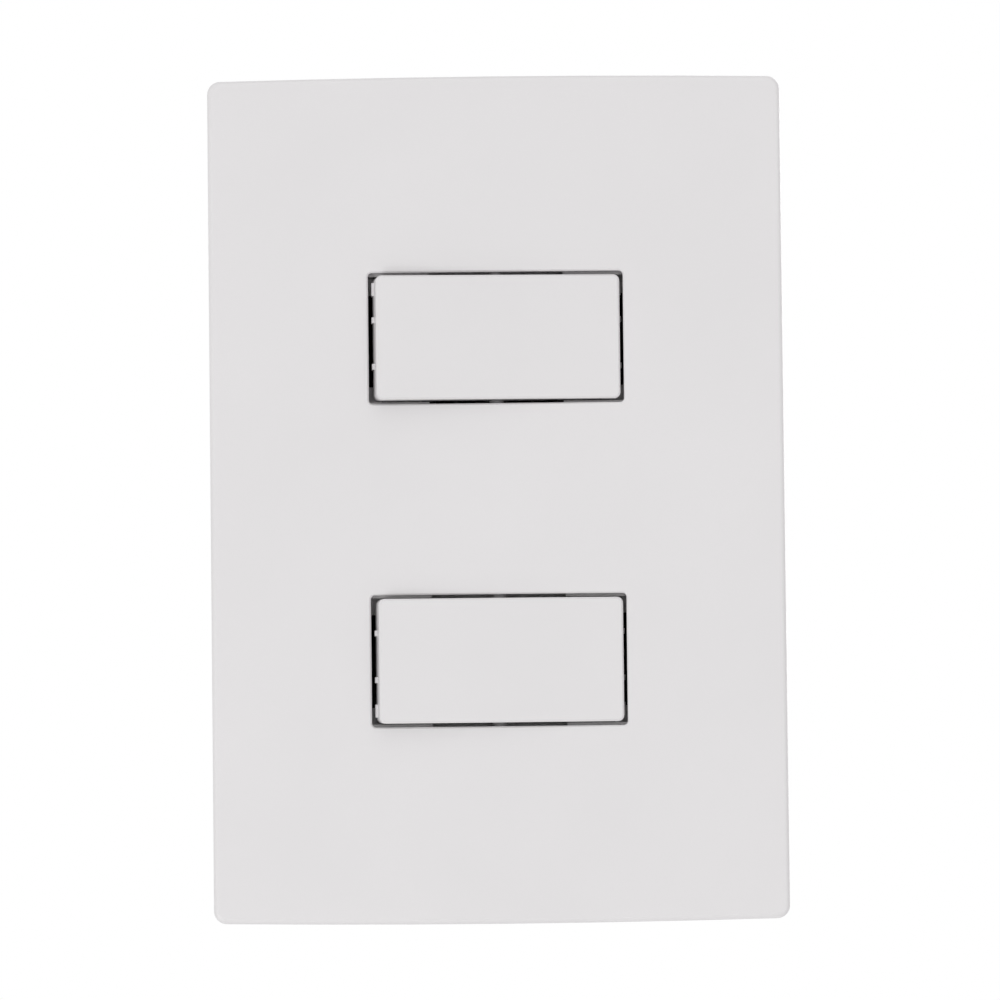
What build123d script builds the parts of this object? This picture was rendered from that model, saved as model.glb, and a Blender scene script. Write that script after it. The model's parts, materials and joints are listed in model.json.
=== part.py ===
from build123d import *
from math import cos, hypot, radians, sin
import os

# Double light switch: a wall plate over a three-bay frame, with a rocker module in each outer bay.
# Millimetres. X points right, Y points into the wall and Z points up. The wall is the plane y = 0,
# and the origin lies midway between the two screws that hold the frame to its wall box.

# How far a cut runs past the face it opens, and how far joined forms run into one another
CUT = 1.0
JOIN = 0.2

# Wall plate
FACE_WIDTH = 80.0
FACE_HEIGHT = 118.2
FACE_BOW = 0.4
FACE_CORNER = 1.8
PLATE_PROUD = 8.0
PLATE_THICKNESS = 2.0
PLATE_WALL = 1.8
PLATE_DRAFT = 1.2
PLATE_EDGE_FILLET = 0.7
PLATE_RIB_THICKNESS = 0.9
PLATE_RIB_HEIGHT = 2.4
PLATE_RIB_SPREAD = 60.0
MIDDLE_RIB_SPACING = 8.0
MIDDLE_RIB_HEIGHT = 1.0
OPENING_WIDTH = 35.6
OPENING_HEIGHT = 18.4
OPENING_CORNER = 0.6
OPENING_EDGE_CHAMFER = 0.2
PRY_NOTCH_WIDTH = 5.0
PRY_NOTCH_DEPTH = 1.2
PRY_NOTCH_OFFSET = 23.5

# Snap hooks of the wall plate
HOOK_SPACING = 44.0
HOOK_WIDTH = 6.0
HOOK_THICKNESS = 1.6
HOOK_BARB = 0.8
HOOK_BARB_HEIGHT = 0.9
HOOK_WINDOW_CLEARANCE = 0.3
HOOK_CATCH_CLEARANCE = 0.1
HOOK_WINDOW_INSET = 5.6

# Support frame
BAY_PITCH = 22.5
BAY_COUNT = 3
BAY_END_CLEARANCE = 0.2
WINDOW_WIDTH = 45.2
FRAME_SIDE_MARGIN = 6.0
FRAME_END_MARGIN = 6.1
FRAME_CORNER = 3.0
FRAME_THICKNESS = 1.8
FRAME_RIM_HEIGHT = 1.4
FRAME_RIM_THICKNESS = 1.5
FRAME_EDGE_CHAMFER = 0.5
FRAME_RIB_THICKNESS = 1.0
RAIL_THICKNESS = 1.6
RAIL_PROUD = 1.4
RAIL_DEPTH = 6.0
BOX_SCREW_SPACING = 83.3
SCREW_SLOT_LENGTH = 10.0
SCREW_PAD_MARGIN = 2.6

# Box screws
BOX_THREAD_RADIUS = 1.75
BOX_SHANK_RADIUS = 1.45
BOX_SLOT_CLEARANCE = 0.45
BOX_HEAD_RADIUS = 3.5
BOX_HEAD_HEIGHT = 2.4
BOX_SCREW_REACH = 22.0
CROSS_LENGTH = 4.2
CROSS_WIDTH = 0.9
CROSS_DEPTH = 1.3

# Module bezel and housing
BEZEL_LAP = 1.2
BEZEL_FLANGE = 1.2
BEZEL_BAY_GAP = 0.2
SPIGOT_CLEARANCE = 0.4
SPIGOT_BAY_GAP = 0.3
SPIGOT_DEPTH = 3.2
HOUSING_DEPTH = 24.9
HOUSING_WALL = 1.3
HOUSING_CHAMFER = 0.8
LUG_WIDTH = 6.8
LUG_PROUD = 0.9
LUG_START = 0.6
LUG_LENGTH = 2.3
LUG_CLEARANCE = 0.45
TONGUE_WIDTH = 3.0
TONGUE_THICKNESS = 1.2
TONGUE_LENGTH = 4.8
TONGUE_OFFSET = 6.3
TONGUE_BARB = 0.7
TONGUE_BARB_START = 3.0
TONGUE_BARB_LENGTH = 1.2
TONGUE_CLEARANCE = 0.25
TONGUE_PLAY = 0.2
SNAP_GAP = 0.1

# Rocker
ROCKER_SIDE_GAP = 0.55
ROCKER_END_GAP = 0.5
ROCKER_END_SLOPE = 0.28
ROCKER_PROUD = 1.1
ROCKER_TILT = 4.0
ROCKER_WALL = 1.4
ROCKER_EDGE_CHAMFER = 0.25
ROCKER_CORNER = 0.85
ROCKER_SKIRT_DROP = 0.1
PIVOT_DEPTH = 3.8
PIVOT_PIN_RADIUS = 1.0
PIVOT_PIN_LENGTH = 1.95
PIVOT_PLAY = 0.05
PIVOT_LOBE_RADIUS = 1.9
END_RIB_PROUD = 0.2
END_RIB_LENGTH = 2.3
END_RIB_WIDTH = 0.8
END_RIB_SPACING = 6.5
END_RIB_SHIFT = 0.65
END_PAD_WIDTH = 1.8
ROCKER_RIB_THICKNESS = 0.8
ROCKER_RIB_HEIGHT = 2.2
ROCKER_RIB_SPACING = 5.6
STEM_WIDTH = 5.0
STEM_REACH = 9.2
BORE_ROOF = 1.0

# Pocket of the bezel round the rocker
POCKET_SIDE_GAP = 0.15
POCKET_END_GAP = 0.2
POCKET_MIDDLE_LENGTH = 18.8
POCKET_MIDDLE_GAP = 0.95
POCKET_LEDGE = 1.0
POCKET_END_LENGTH = 39.0
POCKET_END_HEIGHT = 13.0
STOP_GAP = 0.06
STOP_LENGTH = 3.3

# Plunger and its spring
PLUNGER_RADIUS = 1.55
PLUNGER_PLAY = 0.05
PLUNGER_REACH = 14.0
PLUNGER_LENGTH = 9.3
PLUNGER_NOSE_LENGTH = 0.9
PLUNGER_NOSE_RADIUS = 0.5
SPRING_WIRE_RADIUS = 0.2
SPRING_COIL_RADIUS = 1.15
SPRING_TURNS = 4
SPRING_SIDES = 8

# Rocking contact
CONTACT_THICKNESS = 0.8
CONTACT_WIDTH = 6.0
CONTACT_TILT = 10.0
CONTACT_GAP_AT_MIDDLE = 0.05
CONTACT_TIP_ARM = 8.0
CONTACT_END_MARGIN = 1.5
CONTACT_END_STEP = 1.0
CONTACT_STOP_ARM = 7.5
CONTACT_BAR_LENGTH = 2.0
CONTACT_BAR_WIDTH = 10.0
TRUNNION_RADIUS = 0.5
TRUNNION_LENGTH = 1.5
TRUNNION_PLAY = 0.05
TIP_RADIUS = 1.5
TIP_HEIGHT = 0.8
TIP_DOME_RADIUS = 4.0
TIP_GAP = 0.05

# Terminals
STRIP_THICKNESS = 1.0
STRIP_WIDTH = 6.0
STRIP_DEPTH = 14.9
EAR_THICKNESS = 1.0
EAR_LENGTH = 4.4
EAR_SIDE_GAP = 0.3
EAR_RISE = 0.65
CLAMP_OFFSET = 13.5
CLAMP_LENGTH = 7.0
CLAMP_HEIGHT = 8.4
CLAMP_DEPTH = 7.0
WIRE_BORE_RADIUS = 1.8
WIRE_BORE_DEPTH = 6.0
WIRE_HOLE_CLEARANCE = 0.3
LINE_STRIP_INNER_END = 5.5
CLAMP_SCREW_RADIUS = 1.5
CLAMP_SCREW_PLAY = 0.05
CLAMP_SCREW_LENGTH = 4.6
CLAMP_SCREW_BACKOFF = 0.1
CLAMP_HEAD_RADIUS = 2.6
CLAMP_HEAD_HEIGHT = 1.8
CLAMP_SLOT_WIDTH = 0.8
CLAMP_SLOT_DEPTH = 0.9
ACCESS_HOLE_CLEARANCE = 0.5
PARTITION_THICKNESS = 1.0
STOP_POST_LENGTH = 1.9
STOP_POST_WIDTH = 1.4
CRADLE_BOSS_LENGTH = 6.0

# Rear cover of the module
COVER_THICKNESS = 1.3
COVER_EDGE_CHAMFER = 0.5
COVER_TONGUE_WIDTH = 5.0
COVER_TONGUE_LENGTH = 5.0
COVER_TONGUE_PLAY = 0.1
NEST_THICKNESS = 1.0
NEST_GAP = 0.15
NEST_HEIGHT = 1.8
SEAT_SPACING = 6.0

# Depths that follow from the sizes above
face_y = -PLATE_PROUD
plate_inside_y = face_y + PLATE_THICKNESS
frame_back_y = -FRAME_RIM_HEIGHT
frame_front_y = frame_back_y - FRAME_THICKNESS
rail_front_y = frame_front_y - RAIL_PROUD
bezel_front_y = rail_front_y - BEZEL_FLANGE
housing_front_y = rail_front_y + SPIGOT_DEPTH
housing_back_y = housing_front_y + HOUSING_DEPTH
housing_floor_y = housing_back_y - COVER_THICKNESS
pivot_y = face_y + PIVOT_DEPTH
rocker_face_y = face_y - ROCKER_PROUD
skirt_y = pivot_y + ROCKER_SKIRT_DROP
contact_y = pivot_y + PLUNGER_REACH + CONTACT_GAP_AT_MIDDLE + CONTACT_THICKNESS / 2
strip_back_y = housing_front_y + STRIP_DEPTH + STRIP_THICKNESS
strip_front_y = strip_back_y - STRIP_THICKNESS
clamp_back_y = strip_back_y + CLAMP_DEPTH
clamp_screw_y = clamp_back_y - WIRE_BORE_DEPTH / 2

# Widths and heights that follow, for a module centred on z = 0
frame_width = FACE_WIDTH - 2 * FRAME_SIDE_MARGIN
frame_height = FACE_HEIGHT - 2 * FRAME_END_MARGIN
window_height = BAY_COUNT * BAY_PITCH + 2 * BAY_END_CLEARANCE
spigot_width = WINDOW_WIDTH - 2 * SPIGOT_CLEARANCE
spigot_height = BAY_PITCH - SPIGOT_BAY_GAP
rocker_height = OPENING_HEIGHT - 2 * ROCKER_SIDE_GAP
rocker_depth = pivot_y - rocker_face_y
rocker_tilt = radians(ROCKER_TILT)
rocker_reach = OPENING_WIDTH / 2 - ROCKER_END_GAP
rocker_half_face = (rocker_reach - rocker_depth * sin(rocker_tilt)) / cos(rocker_tilt)
rocker_half_length = rocker_half_face + ROCKER_END_SLOPE
swing_radius = hypot(rocker_half_length + END_RIB_PROUD, END_RIB_LENGTH)
pocket_height = rocker_height + 2 * POCKET_SIDE_GAP
pocket_middle_height = rocker_height + 2 * POCKET_MIDDLE_GAP
pocket_length = 2 * (swing_radius + POCKET_END_GAP)
bore_radius = PLUNGER_RADIUS + PLUNGER_PLAY
housing_inner_width = spigot_width - 2 * HOUSING_WALL
housing_inner_height = spigot_height - 2 * HOUSING_WALL
hook_z = frame_height / 2 - HOOK_WINDOW_INSET

rocker_axis = Axis((0, pivot_y, 0), (0, 0, 1))
contact_axis = Axis((0, contact_y, 0), (0, 0, 1))


def block(x0, x1, y0, y1, z0, z1):
    """A box between two corners."""
    return Pos((x0 + x1) / 2, (y0 + y1) / 2, (z0 + z1) / 2) * Box(x1 - x0, y1 - y0, z1 - z0)


def rod_y(radius, y0, y1, x=0.0, z=0.0):
    """A round rod or hole that runs into the wall."""
    return Pos(x, (y0 + y1) / 2, z) * Rot(90, 0, 0) * Cylinder(radius, y1 - y0)


def rod_z(radius, z0, z1, x=0.0, y=0.0):
    """A round rod or hole that runs upwards."""
    return Pos(x, y, (z0 + z1) / 2) * Cylinder(radius, z1 - z0)


def slab(outline, y0, y1):
    """An outline seen from the front, given depth from y0 to y1."""
    return extrude(Plane.XZ.offset(-y1) * outline, y1 - y0)


def prism_x(points, x_middle, width):
    """A section given as (y, z) points, with its width along X."""
    outline = Plane.YZ.offset(x_middle) * make_face(Polyline(*points, close=True))
    return extrude(outline, width / 2, both=True)


def prism_z(points, z_middle, height):
    """A section given as (x, y) points, with its height along Z."""
    outline = Plane.XY.offset(z_middle) * make_face(Polyline(*points, close=True))
    return extrude(outline, height / 2, both=True)


def turned(points, x=0.0, z=0.0):
    """A round body about a line into the wall, from (radius, y) points."""
    return Pos(x, 0, z) * revolve(make_face(Polyline(*points, close=True)), Axis.Y)


# Wall plate

def plate_outline():
    """The plate's outline at its face: straight sides, and a top and bottom that bow outwards."""
    half_width = FACE_WIDTH / 2
    half_height = FACE_HEIGHT / 2
    corner_z = half_height - FACE_BOW
    bottom = ThreePointArc((-half_width, -corner_z), (0, -half_height), (half_width, -corner_z))
    right = Line((half_width, -corner_z), (half_width, corner_z))
    top = ThreePointArc((half_width, corner_z), (0, half_height), (-half_width, corner_z))
    left = Line((-half_width, corner_z), (-half_width, -corner_z))
    return fillet(make_face([bottom, right, top, left]).vertices(), FACE_CORNER)


def plate_body():
    """The drafted shell, wider at the wall than at its face, with a straight-sided hollow."""
    outer = extrude(Plane.XZ.offset(-face_y) * plate_outline(), -PLATE_PROUD, taper=-PLATE_DRAFT)
    front = outer.faces().sort_by(Axis.Y)[0]
    outer = fillet(front.edges(), PLATE_EDGE_FILLET)
    inside = Rectangle(
        FACE_WIDTH - 2 * PLATE_WALL,
        FACE_HEIGHT - 2 * FACE_BOW - 2 * PLATE_WALL,
    )
    return outer - extrude(
        Plane.XZ.offset(-plate_inside_y) * inside, plate_inside_y, taper=-PLATE_DRAFT
    )


def in_opening(edge):
    """Whether an edge lies in one of the two rocker openings."""
    centre = edge.center()
    off_centre = abs(abs(centre.Z) - BAY_PITCH)
    return abs(centre.X) < OPENING_WIDTH / 2 + JOIN and off_centre < OPENING_HEIGHT / 2 + JOIN


def plate_ribs():
    """The stiffening ribs behind the face, clear of the frame, the bezels and the screw heads."""
    y0 = plate_inside_y - PLATE_THICKNESS / 4
    y1 = plate_inside_y + PLATE_RIB_HEIGHT
    half = PLATE_RIB_THICKNESS / 2
    end_z = frame_height / 2 - HOOK_WINDOW_INSET - HOOK_THICKNESS - PLATE_RIB_THICKNESS
    above_window_z = window_height / 2 + RAIL_THICKNESS + 2 * PLATE_RIB_THICKNESS
    ribs = Part()
    for side in (-1, 1):
        x = side * PLATE_RIB_SPREAD / 2
        ribs += block(x - half, x + half, y0, y1, -end_z, end_z)
        z = side * above_window_z
        ribs += block(-PLATE_RIB_SPREAD / 2, PLATE_RIB_SPREAD / 2, y0, y1, z - half, z + half)
        z = side * MIDDLE_RIB_SPACING / 2
        ribs += block(
            -PLATE_RIB_SPREAD / 2,
            PLATE_RIB_SPREAD / 2,
            y0,
            plate_inside_y + MIDDLE_RIB_HEIGHT,
            z - half,
            z + half,
        )
    return ribs


def plate_hook():
    """One snap hook: a blade through the frame's window, with a barb that faces the plate's end."""
    inner_z = hook_z - HOOK_THICKNESS
    catch_y = frame_back_y + HOOK_CATCH_CLEARANCE
    tip_y = catch_y + HOOK_BARB_HEIGHT
    return prism_x(
        [
            (plate_inside_y - PLATE_THICKNESS / 4, inner_z),
            (tip_y, inner_z),
            (tip_y, hook_z - HOOK_BARB_HEIGHT / 3),
            (catch_y, hook_z + HOOK_BARB),
            (catch_y, hook_z),
            (plate_inside_y - PLATE_THICKNESS / 4, hook_z),
        ],
        HOOK_SPACING / 2,
        HOOK_WIDTH,
    )


def cover_plate():
    plate = plate_body() + plate_ribs()
    for side in (-1, 1):
        opening = RectangleRounded(OPENING_WIDTH, OPENING_HEIGHT, OPENING_CORNER)
        plate -= Pos(0, 0, side * BAY_PITCH) * slab(opening, face_y - CUT, plate_inside_y + CUT)
    rims = plate.edges().group_by(Axis.Y)[0]
    plate = chamfer(rims.filter_by(in_opening), OPENING_EDGE_CHAMFER)
    hook = plate_hook()
    hooks = hook + mirror(hook, Plane.YZ)
    plate += hooks + mirror(hooks, Plane.XY)
    notch_x = PRY_NOTCH_OFFSET
    half = PRY_NOTCH_WIDTH / 2
    outer_z = -FACE_HEIGHT / 2 - CUT
    inner_z = PLATE_WALL + FACE_BOW + CUT - FACE_HEIGHT / 2
    plate -= block(notch_x - half, notch_x + half, -PRY_NOTCH_DEPTH, CUT, outer_z, inner_z)
    return plate


# Support frame

def screw_slot_outline(margin):
    """The outline of a level-setting slot for a box screw, or of the pad round it."""
    height = 2 * (BOX_THREAD_RADIUS + BOX_SLOT_CLEARANCE + margin)
    return SlotOverall(SCREW_SLOT_LENGTH + 2 * margin, height)


def frame_plate():
    """The flange with its rim and screw pads, before anything is cut through it."""
    outline = RectangleRounded(frame_width, frame_height, FRAME_CORNER)
    inner = RectangleRounded(
        frame_width - 2 * FRAME_RIM_THICKNESS,
        frame_height - 2 * FRAME_RIM_THICKNESS,
        FRAME_CORNER - FRAME_RIM_THICKNESS,
    )
    plate = slab(outline, frame_front_y, 0)
    front = plate.faces().sort_by(Axis.Y)[0]
    plate = chamfer(front.edges(), FRAME_EDGE_CHAMFER) - slab(inner, frame_back_y, 0)
    for side in (-1, 1):
        z = side * BOX_SCREW_SPACING / 2
        plate += Pos(0, 0, z) * slab(screw_slot_outline(SCREW_PAD_MARGIN), frame_front_y, 0)
    return plate


def frame_rails():
    """The walls round the window: deep ones at the sides, shallow ones at the ends."""
    inner_x = WINDOW_WIDTH / 2
    outer_x = inner_x + RAIL_THICKNESS
    inner_z = window_height / 2
    outer_z = inner_z + RAIL_THICKNESS
    rails = Part()
    for side in (-1, 1):
        x0, x1 = sorted((side * inner_x, side * outer_x))
        rails += block(x0, x1, rail_front_y, RAIL_DEPTH, -outer_z, outer_z)
        z0, z1 = sorted((side * inner_z, side * outer_z))
        rails += block(-outer_x, outer_x, rail_front_y, 0, z0, z1)
    return rails


def frame_ribs():
    """The ribs behind the flange, level with the ends of the bays, from the rails to the rim."""
    inner_x = WINDOW_WIDTH / 2 + RAIL_THICKNESS / 2
    outer_x = frame_width / 2 - FRAME_RIM_THICKNESS / 2
    half = FRAME_RIB_THICKNESS / 2
    y0 = frame_back_y - FRAME_THICKNESS / 2
    ribs = Part()
    for end in range(BAY_COUNT + 1):
        z = (end - BAY_COUNT / 2) * BAY_PITCH
        ribs += block(inner_x, outer_x, y0, 0, z - half, z + half)
    return ribs + mirror(ribs, Plane.YZ)


def support_frame():
    frame = frame_plate() + frame_rails() + frame_ribs()
    frame -= slab(Rectangle(WINDOW_WIDTH, window_height), rail_front_y - CUT, RAIL_DEPTH + CUT)
    for side in (-1, 1):
        z = side * BOX_SCREW_SPACING / 2
        frame -= Pos(0, 0, z) * slab(screw_slot_outline(0), frame_front_y - CUT, CUT)
    window_y0 = LUG_START - LUG_CLEARANCE
    window_y1 = LUG_START + LUG_LENGTH + LUG_CLEARANCE
    half_lug = LUG_WIDTH / 2 + LUG_CLEARANCE
    for bay in range(BAY_COUNT):
        z = (bay - (BAY_COUNT - 1) / 2) * BAY_PITCH
        reach = WINDOW_WIDTH / 2 + RAIL_THICKNESS + CUT
        frame -= block(-reach, reach, window_y0, window_y1, z - half_lug, z + half_lug)
    half_hook = HOOK_WIDTH / 2 + HOOK_WINDOW_CLEARANCE
    for side_x in (-1, 1):
        x = side_x * HOOK_SPACING / 2
        for side_z in (-1, 1):
            z0, z1 = sorted(
                (
                    side_z * (hook_z - HOOK_THICKNESS - HOOK_WINDOW_CLEARANCE),
                    side_z * (hook_z + HOOK_WINDOW_CLEARANCE),
                )
            )
            frame -= block(x - half_hook, x + half_hook, frame_front_y - CUT, CUT, z0, z1)
    return frame


def box_screw():
    """A screw with a cross recess. Its thread starts at the wall, behind the frame's slot."""
    head_y = frame_front_y - BOX_HEAD_HEIGHT
    screw = turned(
        [
            (0, head_y),
            (BOX_HEAD_RADIUS, head_y),
            (BOX_HEAD_RADIUS, frame_front_y),
            (BOX_SHANK_RADIUS, frame_front_y),
            (BOX_SHANK_RADIUS, 0),
            (BOX_THREAD_RADIUS, 0),
            (BOX_THREAD_RADIUS, BOX_SCREW_REACH),
            (0, BOX_SCREW_REACH),
        ]
    )
    long = CROSS_LENGTH / 2
    short = CROSS_WIDTH / 2
    recess = block(-long, long, head_y - CUT, head_y + CROSS_DEPTH, -short, short)
    recess += block(-short, short, head_y - CUT, head_y + CROSS_DEPTH, -long, long)
    return screw - recess


# Rocker module, centred on x = 0 and z = 0

def pocket():
    """The bezel's hole round the rocker: a wide recess at its middle, and long ends."""
    hole = Rectangle(pocket_length, pocket_height) + Rectangle(POCKET_END_LENGTH, POCKET_END_HEIGHT)
    recess = Rectangle(POCKET_MIDDLE_LENGTH, pocket_middle_height)
    cutter = slab(hole, bezel_front_y - CUT, housing_front_y + CUT)
    return cutter + slab(recess, bezel_front_y - CUT, housing_front_y - POCKET_LEDGE)


def bezel_tongue():
    """A tongue behind the bezel's end, with a barb for the window in the housing's end wall."""
    outer_x = housing_inner_width / 2 - TONGUE_PLAY
    inner_x = outer_x - TONGUE_THICKNESS
    tip_y = housing_front_y + TONGUE_LENGTH
    barb_y = housing_front_y + TONGUE_BARB_START
    return prism_z(
        [
            (inner_x, housing_front_y - JOIN),
            (inner_x, tip_y),
            (outer_x, tip_y),
            (outer_x + TONGUE_PLAY + TONGUE_BARB, barb_y),
            (outer_x, barb_y),
            (outer_x, housing_front_y - JOIN),
        ],
        TONGUE_OFFSET,
        TONGUE_WIDTH,
    )


def bezel():
    flange = Rectangle(WINDOW_WIDTH + 2 * BEZEL_LAP, BAY_PITCH - BEZEL_BAY_GAP)
    body = slab(flange, bezel_front_y, rail_front_y)
    body += slab(Rectangle(spigot_width, spigot_height), rail_front_y, housing_front_y)
    body -= pocket()
    stop_y = pivot_y + rocker_half_length * sin(rocker_tilt) + ROCKER_SKIRT_DROP + STOP_GAP
    inner_x = pocket_length / 2 - STOP_LENGTH / 2
    outer_x = POCKET_END_LENGTH / 2 + JOIN
    top_z = pocket_height / 2 + JOIN
    stop = block(inner_x, outer_x, stop_y, housing_front_y, POCKET_END_HEIGHT / 2, top_z)
    stops = stop + mirror(stop, Plane.XY)
    body += stops + mirror(stops, Plane.YZ)
    bearing = PIVOT_PIN_RADIUS + PIVOT_PLAY
    body -= rod_z(bearing, -spigot_height, spigot_height, y=pivot_y)
    tongue = bezel_tongue()
    tongues = tongue + mirror(tongue, Plane.XY)
    return body + tongues + mirror(tongues, Plane.YZ)


def rocker_shell():
    """The rocker's shell, longer at its skirts than at its face, with room for the mechanism."""
    half = rocker_height / 2
    outer = prism_z(
        [
            (-rocker_half_length, skirt_y),
            (-rocker_half_face, rocker_face_y),
            (rocker_half_face, rocker_face_y),
            (rocker_half_length, skirt_y),
        ],
        0,
        rocker_height,
    )
    corners = outer.edges().filter_by(Axis.X, reverse=True).filter_by(Axis.Z, reverse=True)
    outer = fillet(corners, ROCKER_CORNER)
    front = outer.faces().sort_by(Axis.Y)[0]
    outer = chamfer(front.edges(), ROCKER_EDGE_CHAMFER)
    inner_half = half - ROCKER_WALL
    inner_length = rocker_half_face - ROCKER_WALL
    return outer - block(
        -inner_length,
        inner_length,
        rocker_face_y + ROCKER_WALL,
        skirt_y + CUT,
        -inner_half,
        inner_half,
    )


def end_rib(z, width):
    """A rib on the skirt's end, which narrows the gap when that end of the rocker stands out."""
    root_x = rocker_half_length - ROCKER_WALL / 2
    x = rocker_half_length
    top_y = skirt_y - END_RIB_LENGTH
    return prism_z(
        [
            (root_x, top_y),
            (x, top_y),
            (x + END_RIB_PROUD, top_y + END_RIB_PROUD),
            (x + END_RIB_PROUD, skirt_y),
            (root_x, skirt_y),
        ],
        z,
        width,
    )


def end_ribs():
    """Two ribs and a pad on each end. They sit off the middle, so they show which way round it is."""
    ribs = end_rib(-END_RIB_SHIFT - END_RIB_SPACING / 2, END_RIB_WIDTH)
    ribs += end_rib(-END_RIB_SHIFT + END_RIB_SPACING / 2, END_RIB_WIDTH)
    ribs += end_rib(rocker_height / 2 - ROCKER_CORNER - END_PAD_WIDTH / 2, END_PAD_WIDTH)
    return ribs + mirror(ribs, Plane.YZ)


def rocker_pivots():
    """The lobes on the side walls, with a pin on each."""
    half = rocker_height / 2
    one = rod_z(PIVOT_LOBE_RADIUS, half - ROCKER_WALL, half, y=pivot_y)
    one += rod_z(PIVOT_PIN_RADIUS, half, half + PIVOT_PIN_LENGTH, y=pivot_y)
    return one + mirror(one, Plane.XY)


def rocker_inside():
    """Cross ribs behind the face, a web along the middle, and the stem for the plunger's bore."""
    roof_y = rocker_face_y + ROCKER_WALL / 2
    rib_y = rocker_face_y + ROCKER_WALL + ROCKER_RIB_HEIGHT
    half_inside = rocker_height / 2 - ROCKER_WALL / 2
    thin = ROCKER_RIB_THICKNESS / 2
    inside = block(-2 * ROCKER_RIB_SPACING, 2 * ROCKER_RIB_SPACING, roof_y, rib_y, -thin, thin)
    for step in (-2, -1, 1, 2):
        x = step * ROCKER_RIB_SPACING
        inside += block(x - thin, x + thin, roof_y, rib_y, -half_inside, half_inside)
    half_stem = STEM_WIDTH / 2
    return inside + block(
        -half_stem, half_stem, roof_y, pivot_y + STEM_REACH, -half_stem, half_stem
    )


def rocker(turn):
    """The rocker with its left end out. It fits either way round, and turn says which."""
    body = rocker_shell() + end_ribs() + rocker_pivots() + rocker_inside()
    body -= rod_y(bore_radius, rocker_face_y + ROCKER_WALL + BORE_ROOF, pivot_y + STEM_REACH + CUT)
    return (Rot(0, turn, 0) * body).rotate(rocker_axis, ROCKER_TILT)


def plunger():
    """The pin that the spring pushes out of the stem, with a blunt nose on the rocking contact."""
    start_y = pivot_y + PLUNGER_REACH - PLUNGER_LENGTH
    tip_y = pivot_y + PLUNGER_REACH
    pin = turned(
        [
            (0, start_y),
            (PLUNGER_RADIUS, start_y),
            (PLUNGER_RADIUS, tip_y - PLUNGER_NOSE_LENGTH),
            (PLUNGER_NOSE_RADIUS, tip_y),
            (0, tip_y),
        ]
    )
    return pin.rotate(rocker_axis, ROCKER_TILT)


def plunger_spring():
    """The spring between the roof of the stem's bore and the plunger, coiled in straight runs."""
    start_y = rocker_face_y + ROCKER_WALL + BORE_ROOF + SPRING_WIRE_RADIUS
    end_y = pivot_y + PLUNGER_REACH - PLUNGER_LENGTH - SPRING_WIRE_RADIUS
    runs = SPRING_TURNS * SPRING_SIDES
    points = [
        (
            SPRING_COIL_RADIUS * cos(radians(360 * run / SPRING_SIDES)),
            start_y + (end_y - start_y) * run / runs,
            SPRING_COIL_RADIUS * sin(radians(360 * run / SPRING_SIDES)),
        )
        for run in range(runs + 1)
    ]
    line = Polyline(*points)
    wire = Plane(origin=line @ 0, z_dir=line % 0) * RegularPolygon(SPRING_WIRE_RADIUS, 4)
    spring = sweep(wire, path=line, transition=Transition.RIGHT)
    return spring.rotate(rocker_axis, ROCKER_TILT)


def moving_contact():
    """The brass blade that rocks in its cradle, with a stop bar at one end and a tip at the other."""
    half_width = CONTACT_WIDTH / 2
    y0 = contact_y - CONTACT_THICKNESS / 2
    y1 = contact_y + CONTACT_THICKNESS / 2
    far_x = CONTACT_TIP_ARM + CONTACT_END_MARGIN
    blade = block(-CONTACT_STOP_ARM, CONTACT_TIP_ARM, y0, y1, -half_width, half_width)
    half_end = half_width - CONTACT_END_STEP
    blade += block(CONTACT_TIP_ARM - JOIN, far_x, y0, y1, -half_end, half_end)
    blade += block(
        -CONTACT_STOP_ARM,
        CONTACT_BAR_LENGTH - CONTACT_STOP_ARM,
        y0,
        y1,
        -CONTACT_BAR_WIDTH / 2,
        CONTACT_BAR_WIDTH / 2,
    )
    reach = half_width + TRUNNION_LENGTH
    trunnion = rod_z(TRUNNION_RADIUS, half_width - JOIN, reach, y=contact_y)
    blade += trunnion + mirror(trunnion, Plane.XY)
    return blade.rotate(contact_axis, -CONTACT_TILT)


def moving_tip():
    """The silver button on the blade, domed where it meets the fixed tip."""
    back_y = contact_y + CONTACT_THICKNESS / 2
    dome = Pos(CONTACT_TIP_ARM, back_y + TIP_HEIGHT - TIP_DOME_RADIUS, 0) * Sphere(TIP_DOME_RADIUS)
    tip = rod_y(TIP_RADIUS, back_y, back_y + TIP_HEIGHT, x=CONTACT_TIP_ARM) & dome
    return tip.rotate(contact_axis, -CONTACT_TILT)


def closed_contact_point():
    """Where the dome of the moving tip comes nearest to the fixed tip when the switch is on."""
    tilt = radians(CONTACT_TILT)
    dome_y = CONTACT_THICKNESS / 2 + TIP_HEIGHT - TIP_DOME_RADIUS
    x = CONTACT_TIP_ARM * cos(tilt) - dome_y * sin(tilt)
    y = contact_y + CONTACT_TIP_ARM * sin(tilt) + dome_y * cos(tilt) + TIP_DOME_RADIUS
    return x, y


def fixed_tip():
    """The silver button on the line strip, facing the moving tip."""
    x, y = closed_contact_point()
    return rod_y(TIP_RADIUS, y + TIP_GAP, strip_front_y, x=x)


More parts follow.
